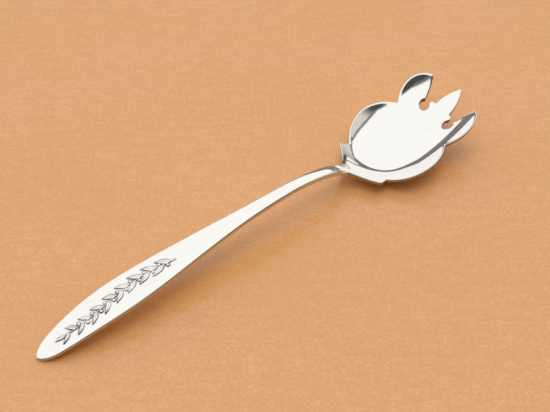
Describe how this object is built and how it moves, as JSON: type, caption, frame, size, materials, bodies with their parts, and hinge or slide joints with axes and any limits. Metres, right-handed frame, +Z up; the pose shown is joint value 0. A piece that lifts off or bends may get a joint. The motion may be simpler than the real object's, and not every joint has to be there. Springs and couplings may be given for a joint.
{
  "type": "ice cream spork",
  "caption": "Polished silver ice cream spork: slim arched handle with a leaf-shaped end, soldered to a round, shallow, eared bowl whose front is cut into short tines by keyhole slots.",
  "frame": {"origin": "centre of the bounding box on the table plane, under the handle", "axes": "+X along the spork from the handle's tip towards the tines, +Y to the left, +Z up out of the bowl"},
  "size_m": [0.146, 0.03, 0.0136],
  "materials": {
    "silver": "mirror-polished silver",
    "silver_solder": "filed and polished hard silver solder"
  },
  "bodies": {
    "root": {"handle": "silver", "solder_seam": "silver_solder", "bowl": "silver"}
  },
  "joints": []
}
